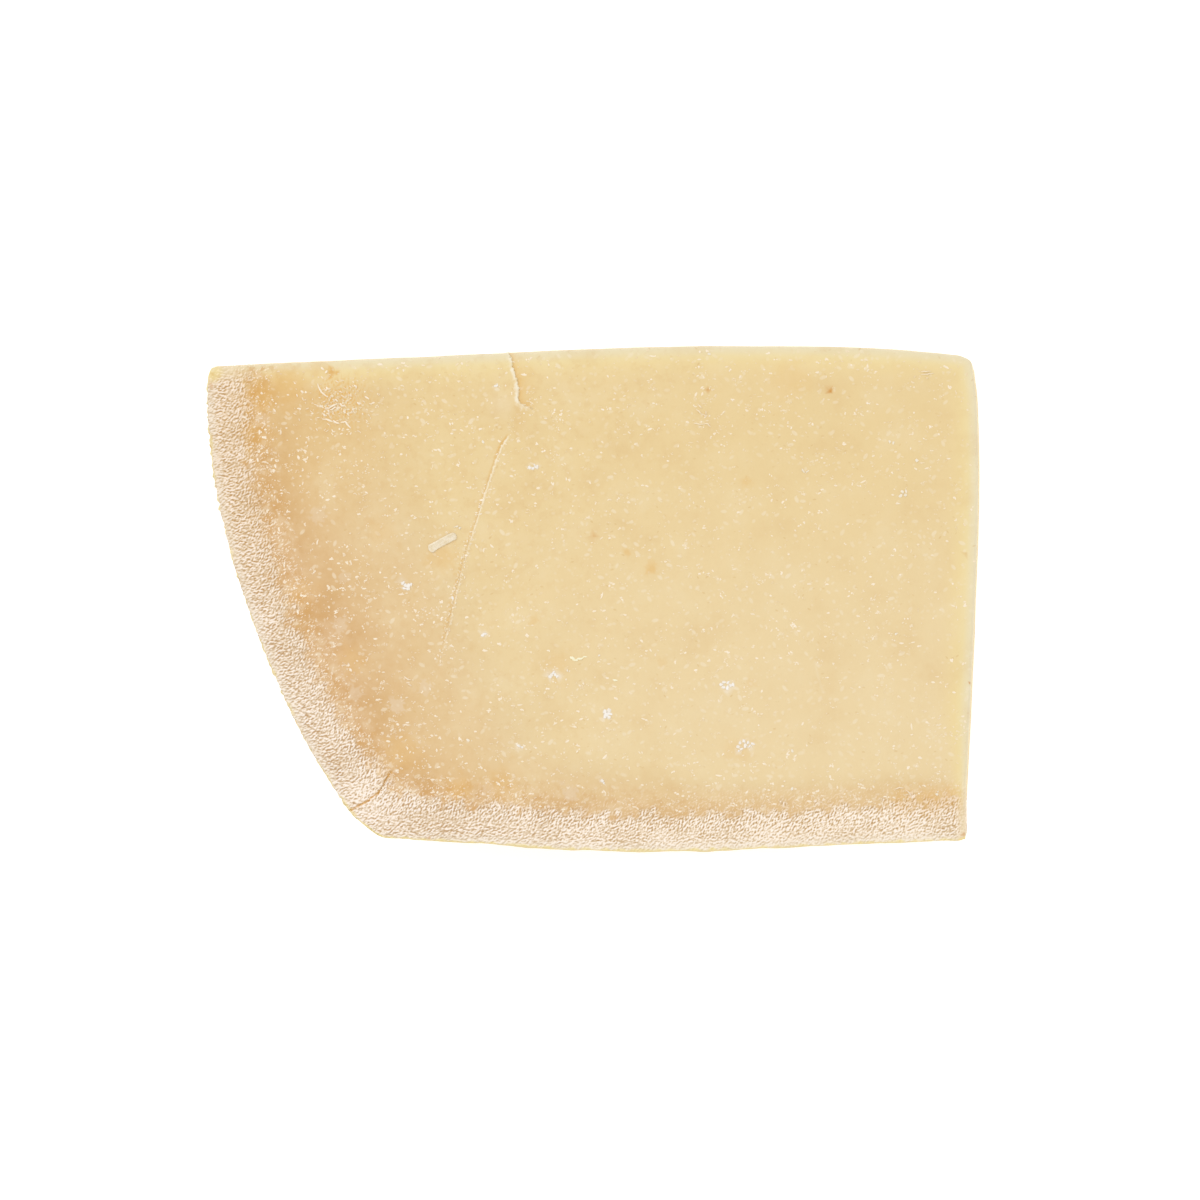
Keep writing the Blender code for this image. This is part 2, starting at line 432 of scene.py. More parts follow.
def rough_patch(x, y):
    """The two places where the knife tore the paste: one below the top edge at the heel, one small one further on."""
    first = bell(x - FIRST_TORN[0], 3.6) * bell(y - FIRST_TORN[1], 2.6)
    second = bell(x - SECOND_TORN[0], 2.0) * bell(y - SECOND_TORN[1], 1.6)
    wave = read_sheet(RIDGES[4], x + 20, y) * smoothstep(-0.6, 0.8, read_sheet(SMALL_WAVES, x + 5, y))
    return smoothstep(0.9, 1.9, wave + 0.9 * first + 0.35 * second) * smoothstep(0.25, 0.7, first + 0.75 * second)


def patch_shade(x, y):
    """Painted amber shade in the hollows between the strands of the first torn place."""
    near = bell(x + 48.0, 3.4) * bell(y - 37.4, 3.2)
    return 1.3 * near * smoothstep(0.1, 1.2, -read_sheet(RIDGES[4], x + 20, y))


def chalk(x, y):
    """Chalky paste around the crystals."""
    value = np.zeros(np.shape(x))
    for i, j, length, width in CRYSTALS:
        radius = (length + width) / 4 * PX
        value = np.maximum(value, 0.5 * smoothstep(radius * 1.6, radius * 0.6, far_from(x, y, px(i, j))))
    return value


def spots(kind, x, y, full=0.3, gone=1.4):
    """Round spots with uneven rims, which fade between two shares of their radius."""
    value = np.zeros(np.shape(x))
    ragged = 1.0 + 0.16 * read_sheet(SMALL_WAVES, x * 1.7, y * 1.7 + 44) + 0.12 * read_sheet(GRIT, x + 31, y)
    for i, j, radius, strength in kind:
        far = far_from(x, y, px(i, j)) * ragged
        value = np.maximum(value, strength * smoothstep(radius * gone, radius * full, far))
    return value


def gilt(x, y, a, b):
    """Where the golden skin still clings to the rim of the cut: a line along the plate, slivers along the heel."""
    ragged = read_sheet(SMALL_WAVES, a + 9, b)
    along_plate = smoothstep(0.55, 0.15, read_map(PLATE_DEPTH, x, y) + 0.12 * ragged) * 0.62
    slivers = smoothstep(0.3, 1.2, read_sheet(HAND_WAVES, a, b + 12))
    along_heel = smoothstep(0.65, 0.25, read_map(HEEL_DEPTH, x, y)) * slivers * 0.45
    corner = 0.35 * smoothstep(2.6, 1.0, far_from(x, y, (-72.2, 43.2)))
    return np.clip(np.maximum(np.maximum(along_plate, along_heel), corner), 0, 1)


def ridge_height(ridge, band):
    crest = crest_of(ridge)
    return RIDGE_DEPTH * (crest - 1.0) * band + FRINGE_RISE * crest * (1.0 - band)


def slow_waves(x, y, a, b):
    """The gentle unevenness of a hand-split face, calmer towards its rims."""
    return mix(0.5, 1.0, smoothstep(0.0, 5.0, read_map(INSIDE, x, y))) * (
        0.10 * read_sheet(COARSE_WAVES, a, b) + 0.035 * read_sheet(HAND_WAVES, a, b))


def upper_relief(x, y):
    """Height of the upper cut over its own plane."""
    return (ridge_height(*torn_rind(x, y, x, y)) + slow_waves(x, y, x, y) + crack_relief(x, y)[0]
            + TORN_RISE * rough_patch(x, y))


# ---------------------------------------------------------------- the wedge's mesh

CELLS = (40, 26, 10)  # even squares before they are refined: heel to centre, plate to top cut, upper cut to lower


def block():
    """A box of even squares, 1 long each way. Its sides become the heel and the cut near the centre (x), the plate
    and the cut at half height (y), and the lower and the upper radial cut (z)."""
    shape = bmesh.new()
    bmesh.ops.create_cube(shape, size=1.0, matrix=Matrix.Translation((0.5, 0.5, 0.5)))
    for axis, cells in enumerate(CELLS):
        edges = [e for e in shape.edges if abs((e.verts[0].co - e.verts[1].co)[axis]) > 1e-6]
        bmesh.ops.subdivide_edges(shape, edges=edges, cuts=cells - 1, use_grid_fill=True)
    bmesh.ops.triangulate(shape, faces=shape.faces[:], quad_method="SHORT_EDGE")
    return shape


def section_place(u, v):
    """The four sides of the section blended across it: u from heel to centre, v from plate to top cut."""
    plate, top, heel, centre = (at(line, share * along(line)[-1]) for line, share in (
        (PLATE_LINE, u), (TOP_LINE[::-1], u), (HEEL_LINE[::-1], v), (CENTRE_LINE, v)))
    u, v = u[:, None], v[:, None]
    corners = ((1 - u) * (1 - v) * PLATE_LINE[0] + u * (1 - v) * PLATE_LINE[-1]
               + (1 - u) * v * TOP_LINE[-1] + u * v * TOP_LINE[0])
    return ((1 - v) * plate + v * top + (1 - u) * heel + u * centre - corners).T


def turned(x, y, t):
    """A section place that lies t below the upper cut, on the wedge."""
    radius = AXIS_X - x
    angle = WEDGE_ANGLE - t / radius
    half = WEDGE_ANGLE / 2
    straight = np.clip((CENTRE_CUT_RADIUS + STRAIGHTEN_FADE - radius) / STRAIGHTEN_FADE, 0.0, 1.0)
    radius = radius * (1.0 + straight * (np.cos(half) / np.cos(angle - half) - 1.0))
    return np.stack([AXIS_X - radius * np.cos(angle), y + 0.0 * t, radius * np.sin(angle)], -1)


def thickness(x):
    return WEDGE_ANGLE * (AXIS_X - x)


def places(block_places):
    x, y = section_place(block_places[:, 0], block_places[:, 1])
    return x, y, (1.0 - block_places[:, 2]) * thickness(x)


def wanted_spacing(block_places, x, y, t):
    """How long an edge of the mesh may be at each place: fine where the rind is torn, along cracks and on spots."""
    upper, lower = block_places[:, 2] > 0.999, block_places[:, 2] < 0.001
    skin = (block_places[:, 0] < 0.001) | (block_places[:, 1] < 0.001)
    wall = ~(upper | lower | skin)
    depth, inside = rind_depth(x, y), read_map(INSIDE, x, y)
    on_upper = mix(0.42, 2.0, smoothstep(BAND_WIDTH + 2.2, BAND_WIDTH + 6.0, depth))
    for line, closest in ((STEP_CRACK, 0.19), (HAIR_CRACK, 0.19), (RIND_CRACK, 0.19), (SCRATCH, 0.3)):
        far = distance_to(line, x[upper], y[upper])[0]
        on_upper[upper] = np.minimum(on_upper[upper], closest + 0.5 * np.maximum(far - 0.55, 0.0))
    fine = np.minimum(np.hypot((x - FIRST_TORN[0]) / 7.5, (y - FIRST_TORN[1]) / 5.5),
                      np.hypot((x - SECOND_TORN[0]) / 3.6, (y - SECOND_TORN[1]) / 3.0)) < 1.0
    for i, j, radius, _ in BROWN_SPECKS + AMBER_SPOTS + PALE_SPOTS + tuple(
            (i, j, (length + width) / 3 * PX, 1.0) for i, j, length, width in CRYSTALS):
        fine |= far_from(x, y, px(i, j)) < radius * 1.4
    on_upper = np.where(fine, np.minimum(on_upper, 0.34), on_upper)
    on_upper = np.where(inside < 1.0, np.minimum(on_upper, 0.66), on_upper)
    spacing = np.select([skin, wall, lower, upper], [
        1.3, np.where(depth < BAND_WIDTH + 1.5, 0.56, 1.9), np.where(depth < BAND_WIDTH + 2.0, 1.4, 3.2), on_upper])
    spacing = np.where((t < 1.1) & ~upper, np.minimum(spacing, 0.66), spacing)
    for corner in CORNERS:
        near = (far_from(x, y, corner) < 3.0) & (inside < 1.0) & (t < 1.1)
        spacing = np.where(near, np.minimum(spacing, 0.33), spacing)
    return spacing


def refine(shape, passes=6):
    """Halves every edge that is longer than its place wants, until none is."""
    for _ in range(passes):
        co = np.array([v.co for v in shape.verts])
        shape.verts.index_update()
        ends = np.array([(e.verts[0].index, e.verts[1].index) for e in shape.edges])
        x, y, t = places(co)
        solid = turned(x, y, t)
        length = np.linalg.norm(solid[ends[:, 0]] - solid[ends[:, 1]], axis=1)
        middle = (co[ends[:, 0]] + co[ends[:, 1]]) / 2
        long = length > wanted_spacing(middle, *places(middle))
        if not long.any():
            break
        edges = [e for e, cut in zip(shape.edges, long) if cut]
        bmesh.ops.subdivide_edges(shape, edges=edges, cuts=1, use_grid_fill=True)
        bmesh.ops.triangulate(shape, faces=[f for f in shape.faces if len(f.verts) > 3])


def worn(x, y, t, on_wall, upper, lower):
    """Rounds the rims between the radial cuts and the sides by a wear that varies along them."""
    wear = EDGE_WEAR * (1.0 + 0.2 * np.clip(read_sheet(SMALL_WAVES, x * 0.8 + 60, y * 0.8), -1.6, 2.5))
    wear = wear * mix(0.45, 1.0, smoothstep(0.0, 3.0, rind_depth(x, y)))
    nx, ny = inward(x, y)
    inside = np.where(on_wall, 0.0, np.maximum(read_map(INSIDE, x, y), 0.0))
    deep = thickness(x)
    inset, drop = np.zeros(len(x)), np.zeros(len(x))
    for from_cut, sign in ((t, 1.0), (deep - t, -1.0)):
        on_cut = upper if sign > 0 else lower
        a = np.where(on_cut, inside, np.where(on_wall, from_cut, 9.0))
        turn = math.pi / 4 * np.clip(1.0 - a / wear, 0.0, 1.0)
        near, off = wear - wear * np.sin(turn), wear - wear * np.cos(turn)
        close = a < wear
        inset += np.where(close, np.where(on_cut, near - inside, off), 0.0)
        drop += sign * np.where(close, np.where(on_cut, off, near - from_cut), 0.0)
    return x + nx * inset, y + ny * inset, t + drop


def new_object(name, data):
    piece = bpy.data.objects.new(name, data)
    bpy.context.scene.collection.objects.link(piece)
    return piece


def keep(mesh, **stored):
    """Stores numbers for each point of the mesh, which the materials read by name."""
    for name, values in stored.items():
        mesh.attributes.new(name, "FLOAT", "POINT").data.foreach_set("value", np.asarray(values, np.float32))


def read_all(items, name, kind=np.float32):
    """A row of three numbers for every three that the items hold."""
    values = np.empty(len(items) * (1 if kind is np.int32 else 3), kind)
    items.foreach_get(name, values)
    return values.reshape(-1, 3)


def cheese_wedge():
    shape = block()
    refine(shape)
    mesh = bpy.data.meshes.new("cheese_wedge")
    shape.to_mesh(mesh)
    shape.free()
    box = read_all(mesh.vertices, "co").astype(float)
    x, y, t = places(box)
    (heel, plate, lower), (centre, top, upper) = (box < 0.0001).T, (box > 0.9999).T
    on_cut = upper | lower
    on_wall = (heel | plate | centre | top) & ~on_cut
    skin = (heel | plate) & ~on_cut
    smooth = turned(*worn(x, y, t, on_wall, upper, lower))
    mesh.vertices.foreach_set("co", smooth.astype(np.float32).ravel())
    mesh.update()
    normal = read_all(mesh.vertex_normals, "vector").astype(float)

    # The pattern's own place: the walls are folded out level with the upper cut, the lower cut has its own
    nx, ny = inward(x, y)
    out = np.where(lower, 0.0, t)
    a = x - nx * out + np.where(lower, 37.0, 0.0)
    b = y - ny * out + np.where(lower, 61.0, 0.0)

    ridge, band = torn_rind(x, y, a, b, on_cut)
    cracks, lip, shade = crack_relief(x, y)
    patch = rough_patch(x, y)
    height = np.where(skin, 0.0, ridge_height(ridge, band)) + np.where(upper, cracks + TORN_RISE * patch, 0.0)
    height += slow_waves(x, y, a, b) * np.where((top | centre) & ~on_cut, 0.4, np.where(skin, 1.2, 1.0))
    height += np.where(skin, mix(0.3, 1.0, smoothstep(0.0, 5.0, t)) * (
        0.05 * read_sheet(HAND_WAVES, a + 50, b) + 0.03 * read_sheet(SMALL_WAVES, a, b)), 0.0)
    ragged = 0.14 * smoothstep(3.5, 0.0, t) * smoothstep(1.0, 6.0, np.hypot(x - HEEL[0][0], y - HEEL[0][1]))
    height += np.where(heel & ~plate, ragged * read_sheet(SMALL_WAVES, a * 1.5, b * 1.5 + 8), 0.0)
    height = np.where(lower, np.minimum(height, 0.0) * 0.6, height)
    solid = smooth + normal * height[:, None]
    solid[:, 2] = np.maximum(solid[:, 2], 0.0)

    low = Vector(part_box("cheese_chunk")[0]) * METRE
    shift = np.array([low.x - turned(OUTLINE[:, 0], OUTLINE[:, 1], thickness(OUTLINE[:, 0]))[:, 0].min(),
                      low.y - OUTLINE[:, 1].min(), 0.0])
    mesh.vertices.foreach_set("co", ((solid + shift) / METRE).astype(np.float32).ravel())
    mesh.update()

    rim = np.minimum(t, thickness(x) - t)
    from_centre = read_map(CENTRE_DEPTH, x, y) * (1.0 + smoothstep(-22.0, -38.0, y))
    cut_edge = np.where(on_cut, np.minimum(read_map(TOP_DEPTH, x, y), from_centre), rim + 0.5)
    corner = bell(x + 43.0, 5.5) * bell(y + 40.5, 5.5)
    # amber: painted shadow along the cracks and in the torn hollows, over real amber spots and deeper tones
    amber = shade + spots(AMBER_SPOTS, x, y) * 0.6 + spots(DEEP_TONES, x, y) + patch_shade(x, y)
    # side_wall marks the side walls, which the cut's material darkens with painted shade
    keep(mesh, rind_depth=rind_depth(x, y) + 1.3 * corner, ageing=ageing(x, y), pale_heart=pale_heart(x, y),
         band=band, ridge=ridge + 1.5 * corner, cut_edge=np.maximum(cut_edge, 0.0),
         torn=upper * np.clip(lip + patch, 0, 1), amber=upper * np.clip(amber, 0, 1),
         speck=upper * spots(BROWN_SPECKS, x, y), pale=upper * spots(PALE_SPOTS, x, y, 0.75, 1.1),
         chalk=upper * chalk(x, y), gilt=gilt(x, y, a, b), rim=rim, side_wall=on_wall * smoothstep(0.5, 5.0, rim),
         plate_share=plate_is_nearer(*rind_depths(x, y)) * smoothstep(-45.0, 40.0, x))
    mesh.shade_smooth()

    corners = read_all(mesh.loops, "vertex_index", np.int32)
    on = {name: member[corners].all(1) for name, member in (
        ("upper", upper), ("lower", lower), ("heel", heel), ("plate", plate), ("centre", centre), ("top", top))}
    mesh.polygons.foreach_set("material_index", (on["heel"] | on["plate"]).astype(np.int32))
    lay_out(mesh, corners, on, x, y, box)
    return new_object("cheese_wedge", mesh), shift


def lay_out(mesh, corners, on, x, y, box):
    """One flat map of the whole surface. The upper cut takes most of it, because it holds the finest detail."""
    u, v = np.zeros(corners.shape), np.zeros(corners.shape)
    wide = 148.0
    along_x, along_y, down = box[:, 0], box[:, 1], 1.0 - box[:, 2]
    x, y = x + 73.8, y + 48.8
    # Each side with its places in mm, its lower left corner on the map, and its scale
    for name, across, up, left, low, scale in (
            ("upper", x, y, 0.004, 0.332, 0.985), ("lower", x, y, 0.004, 0.006, 0.42),
            ("heel", along_y * 92.0, down * 39.0, 0.44, 0.175, 0.50),
            ("plate", along_x * 116.0, down * 34.0, 0.44, 0.045, 0.50),
            ("top", along_x * 143.0, down * 39.0, 0.765, 0.175, 0.23),
            ("centre", along_y * 92.0, down * 11.0, 0.44, 0.006, 0.45)):
        member = on[name]
        u[member] = left + (across * scale / wide)[corners[member]]
        v[member] = low + (up * scale / wide)[corners[member]]
    layer = mesh.uv_layers.new(name="OFBake")
    layer.data.foreach_set("uv", np.stack([u, v], -1).astype(np.float32).ravel())


# ---------------------------------------------------------------- what lies on the upper cut

class Crumbs:
    """Gathers small solids that lie on the upper cut, in section places and heights, and makes one mesh of them."""

    def __init__(self):
        self.points, self.faces, self.strength = [], [], []

    def add(self, points, faces, strength):
        start = len(self.points)
        self.points.extend(points)
        self.faces.extend([tuple(start + i for i in face) for face in faces])
        self.strength.extend([strength] * len(points))

    def strand(self, path, width, height, strength=1.0, bite=0.06):
        """A tapered torn tongue along a path."""
        path = np.array(path, float)
        step = np.gradient(path, axis=0)
        step /= np.maximum(np.hypot(*step.T)[:, None], 1e-9)
        share = np.linspace(0.0, 1.0, len(path))
        taper = np.maximum(np.sin(math.pi * (0.12 + 0.76 * share)), 0.3)
        points, faces = [], []
        for (x, y), (dx, dy), size in zip(path, step, taper):
            for off, rise in ((-0.5, -bite), (-0.36, height * size), (0.34, 0.75 * height * size), (0.5, -bite)):
                points.append((x - dy * off * width * size, y + dx * off * width * size, rise))
        for row in range(len(path) - 1):
            k = 4 * row
            faces += [(k + i, k + (i + 1) % 4, k + 4 + (i + 1) % 4, k + 4 + i) for i in range(4)]
        last = len(points) - 4
        faces += [(3, 2, 1, 0), (last, last + 1, last + 2, last + 3)]
        self.add(points, faces, strength)

    def lump(self, rng, place, size, tall, strength=1.0, sink=0.35, finer=False):
        """A hard angular lump: a ball cut by a few random planes."""
        ball = bmesh.new()
        bmesh.ops.create_icosphere(ball, subdivisions=3 if finer else 2, radius=1.0)
        co = np.array([v.co for v in ball.verts])
        faces = [tuple(v.index for v in f.verts) for f in ball.faces]
        ball.free()
        for _ in range(9):
            way = rng.normal(size=3)
            way /= np.linalg.norm(way)
            reach = co @ way
            co = co - np.maximum(reach - rng.uniform(0.45, 0.85), 0.0)[:, None] * way
        turn = rng.uniform(0, math.pi)
        flat = co[:, :2] * np.array(size) / 2
        c, s = math.cos(turn), math.sin(turn)
        x = place[0] + flat[:, 0] * c - flat[:, 1] * s
        y = place[1] + flat[:, 0] * s + flat[:, 1] * c
        h = np.minimum((co[:, 2] + 1.0) / 2 * tall - sink * tall, tall * rng.uniform(0.28, 0.42))
        self.add(np.stack([x, y, h], 1).tolist(), faces, strength)

    def make(self, name, shift, material, smooth=False):
        x, y, h = np.array(self.points).T
        solid = (turned(x, y, -(upper_relief(x, y) + h)) + shift) / METRE
        mesh = bpy.data.meshes.new(name)
        mesh.from_pydata(solid.tolist(), [], self.faces)
        shape = bmesh.new()
        shape.from_mesh(mesh)
        bmesh.ops.recalc_face_normals(shape, faces=shape.faces[:])
        shape.to_mesh(mesh)
        shape.free()
        keep(mesh, strength=self.strength, ageing=ageing(x, y), pale_heart=pale_heart(x, y))
        if smooth:
            mesh.shade_smooth()
        mesh.materials.append(material)
        piece = new_object(name, mesh)
        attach(piece, "root")
        return piece


def bent_path(place, heading, length, bend):
    """A short curved path through a place."""
    rows = 3 if length < 0.6 else 4
    share = np.linspace(-0.5, 0.5, rows)
    turn = heading + bend * share
    step = length / (rows - 1)
    path = np.cumsum(np.stack([np.cos(turn), np.sin(turn)], 1) * step, axis=0)
    return path - path.mean(axis=0) + np.array(place)


def fleck_crowd(x, y):
    """Torn flecks on each square millimetre of the cut: crowded at the rind, sparse and clumped further in."""
    heel, plate = rind_depths(x, y)
    depth, by_plate = np.minimum(heel, plate), plate_is_nearer(heel, plate)

    def fading(depth, start, width):
        return np.exp(-np.maximum(depth - start, 0) / width)

    crowd = (0.21 + 0.32 * fading(heel, 9, 14) + 0.22 * fading(plate, 8, 7)
             + mix(1.5, 0.9, by_plate) * fading(depth, 8, mix(1.9, 1.3, by_plate)))
    clumps = np.exp(0.55 * read_sheet(HAND_WAVES, x + 23, y + 71) + 0.35 * read_sheet(COARSE_WAVES, x, y + 17))
    return crowd * clumps * smoothstep(BAND_WIDTH - 1.2, BAND_WIDTH + 0.3, depth) * smoothstep(
        0.2, 1.2, read_map(INSIDE, x, y))


TORN_STRANDS = tuple(px_line(*line) for line in (  # where the knife tore the paste below the top edge
    (317.4, 384, 319.4, 388.5, 322.5, 393.1, 327.9, 397.1), (326, 387, 328.5, 389.5),
    (328.8, 408.5, 333, 405.5, 337, 404),
    (330, 410, 333, 408.5, 336, 406.5), (339.7, 403, 342, 406, 345.2, 405.8), (323, 414, 325.5, 416),
    (325.2, 418.5, 329, 420, 332.5, 421.6), (333, 420.5, 336.5, 423, 339.7, 423.1),
    (341, 423, 345.2, 421.6, 348.8, 425.8, 350.6, 428.5), (354, 385, 356.5, 388), (357, 402, 360, 404.5),
    (365, 396, 369, 399), (321, 367, 324, 370), (325, 373, 327.5, 370.5), (335, 399, 338, 401.5), (343, 411, 346, 413)))
FAINT_STRANDS = tuple(px_line(*line) for line in (
    (695.9, 409.3, 699, 411.5, 702.3, 414.7), (698.2, 404.7, 701.8, 408.4), (705.5, 411, 706.4, 414.5),
    (702, 414, 706.5, 416), (693.2, 422.9, 698, 424, 703.2, 424.3), (704, 424, 707, 423, 710.5, 427),
    (921, 374.6, 927, 374.2, 933.7, 373.2), (921, 371.8, 926, 371.6, 930.6, 371.3), (926, 378, 928, 378.4),
    (895, 789, 899, 787.5, 904, 788), (906, 790, 909, 793, 911, 797), (404, 676, 407, 679, 411, 680),
    (408, 684, 412, 686)))


def torn_flecks(shift):
    rng = np.random.default_rng(21)
    crumbs = Crumbs()
    x = rng.uniform(-75, 75, 30000)
    y = rng.uniform(-50, 50, 30000)
    stay = rng.uniform(0, 1, 30000) < fleck_crowd(x, y) * 0.60
    for place in np.stack([x, y], 1)[stay]:
        strength = 0.08 + 0.92 * rng.uniform(0.0, 1.0) ** 2.8
        heading = rng.normal(0.0, 0.16) if rng.uniform() < 0.5 else rng.uniform(-1.57, 1.57)
        size = 0.75 + 0.65 * strength
        for part in range(int(rng.choice((1, 2, 3), p=(0.5, 0.32, 0.18)))):
            length = size * 0.32 * math.exp(0.42 * rng.normal()) / (1 + 0.2 * part)
            spot = place + (rng.normal(0, 0.22, 2) * (1.3, 0.8) if part else 0.0)
            path = bent_path(spot, heading + 0.6 * part * rng.normal(), min(length, 1.3), rng.normal(0, 0.5))
            crumbs.strand(path, size * rng.uniform(0.26, 0.42), rng.uniform(0.03, 0.065), strength)
    for lines, low, high, strength in ((TORN_STRANDS, 0.34, 0.50, 1.0), (FAINT_STRANDS, 0.3, 0.3, 0.5)):
        for line in lines:
            reach = along(line)[-1]
            path = at(line, np.linspace(0, reach, max(4, int(reach / 0.25))))
            path = path + rng.normal(0, 0.035, path.shape)
            width = rng.uniform(low, high) if strength == 1.0 else low
            crumbs.strand(path, width, rng.uniform(0.18, 0.28), strength)
    for _ in range(110):
        spot = np.array(px(340, 406)) + np.clip(rng.normal(0, 1, 2), -2, 2) * (4.3, 3.2)
        crumbs.strand(bent_path(spot, rng.normal(-0.5, 0.5), rng.uniform(0.25, 0.75), rng.normal(0, 0.8)),
                      rng.uniform(0.18, 0.30), rng.uniform(0.07, 0.16), rng.uniform(0.35, 1.0))
    for _ in range(95):  # crumbs along the fine crack, more of them in its torn lower half
        spot = at(HAIR_CRACK, along(HAIR_CRACK)[-1] * rng.uniform() ** 0.62 * 0.97)
        spot = spot + (rng.choice((-0.32, 0.34)) + rng.normal(0, 0.22), 0.0)
        crumbs.strand(bent_path(spot, rng.normal(1.2, 0.6), rng.uniform(0.2, 0.55), rng.normal(0, 0.5)),
                      rng.uniform(0.22, 0.4), rng.uniform(0.05, 0.12), rng.uniform(0.25, 1.0))
    return crumbs.make("torn_flecks", shift, torn_paste())


def white_crystals(shift):
    rng = np.random.default_rng(5)
    crumbs = Crumbs()
    for lumps, strength in ((CRYSTALS, 1.0), (FAINT_CRYSTALS, 0.35)):
        for x, y, length, width in lumps:
            size = (length * PX * 1.24, width * PX * 1.24)
            crumbs.lump(rng, px(x, y), size, rng.uniform(0.22, 0.32) * (0.5 + size[1]), strength, finer=size[0] > 0.7)
            spot = np.array(px(x, y)) + rng.normal(0, 0.25, 2) * size
            crumbs.lump(rng, spot, rng.uniform(0.22, 0.38, 2), rng.uniform(0.12, 0.20), 0.7 * strength)
    return crumbs.make("white_crystals", shift, white_crystal())


def grated_shred(shift):
    """A shred off the grater, ribbed along its length, with the knob where it tore off."""
    start, end = np.array(px(428.8, 550.0)), np.array(px(456.1, 534.8))
    rows, ring = 64, 28
    heading = math.atan2(*(end - start)[::-1])
    beside = np.array((-math.sin(heading), math.cos(heading)))
    points, faces = [], []
    for row, share in enumerate(np.linspace(0, 1, rows)):
        knob = crease(share - 0.07, 0.08)
        close = math.sqrt(max(1.0 - max(abs(share - 0.5) * 2 - 0.80, 0.0) ** 2 / 0.2**2, 0.02))
        middle = start + (end - start) * share + beside * 0.10 * math.sin(3.0 * share + 0.3)
        for k in range(ring):
            turn = 2 * math.pi * k / ring
            wide, tall = (math.copysign(abs(part) ** 0.6, part) for part in (math.cos(turn), math.sin(turn)))
            rib = (0.06 * math.cos(9.5 * wide) + 0.05 * math.sin(share * 62 + 3.0 * wide)) * max(tall, 0.0)
            ragged = 0.03 * math.sin(share * 41 + 2 * turn) * math.sin(share * 17 + turn)
            spot = middle + beside * wide * (0.76 + 0.12 * knob + ragged) * close
            points.append((*spot, 0.11 + tall * (0.15 + 0.04 * knob) * close + rib * close))
    for row in range(rows - 1):
        for k in range(ring):
            a, b = row * ring + k, row * ring + (k + 1) % ring
            faces.append((a, b, b + ring, a + ring))
    faces += [tuple(range(ring))[::-1], tuple(range((rows - 1) * ring, rows * ring))]
    crumbs = Crumbs()
    crumbs.add(points, faces, 1.0)
    return crumbs.make("grated_shred", shift, grated_cheese("grated cheese", (236, 217, 179), (251, 239, 217)),
                       smooth=True)


def torn_chip(shift):
    """A tiny bent chip that stands up where the cut caught, and a smaller one near by."""
    rng = np.random.default_rng(3)
    crumbs = Crumbs()
    for width, height, *line in ((0.62, 0.22, 569.6, 656.4, 571.4, 657.8, 573.4, 658.6, 575.4, 659.8),
                                 (0.44, 0.14, 571, 658.6, 574, 660, 578, 660.6),
                                 (0.5, 0.2, 576.4, 659.6, 578.4, 658.4, 581, 658.8, 583.2, 657.4),
                                 (0.34, 0.14, 582, 657.8, 584.4, 656.6, 587.4, 656.8),
                                 (0.46, 0.14, 612.6, 679.2, 615, 680.4, 617.4, 680)):
        line = px_line(*line)
        path = at(line, np.linspace(0, along(line)[-1], 9))
        crumbs.strand(path + rng.normal(0, 0.03, path.shape), width, height)
    return crumbs.make("torn_chip", shift, grated_cheese("torn chip", (252, 240, 196), (255, 252, 228)))


# ---------------------------------------------------------------- materials

LIGHT = 1.15  # how bright a white surface comes out under the studio light
SHEEN = 0.03


def seen(red, green, blue):
    """The surface colour that comes out as this colour, 0 to 255, under the studio light."""
    linear = [((c / 255 + 0.055) / 1.055) ** 2.4 if c > 10 else c / 255 / 12.92 for c in (red, green, blue)]
    return tuple(min(max((c - SHEEN) / LIGHT, 0.0), 1.0) for c in linear) + (1.0,)


class Flow:
    """A number, place or colour on its way through a node tree. + - * and / add the math nodes."""

    def __init__(self, tree, socket):
        self.tree, self.socket = tree, socket

    def __add__(self, other):
        return self.tree.math("ADD", self, other)

    def __sub__(self, other):
        return self.tree.math("SUBTRACT", self, other)

    def __rsub__(self, other):
        return self.tree.math("SUBTRACT", other, self)

    def __mul__(self, other):
        return self.tree.math("MULTIPLY", self, other)

    def __truediv__(self, other):
        return self.tree.math("DIVIDE", self, other)

    def __rtruediv__(self, other):
        return self.tree.math("DIVIDE", other, self)


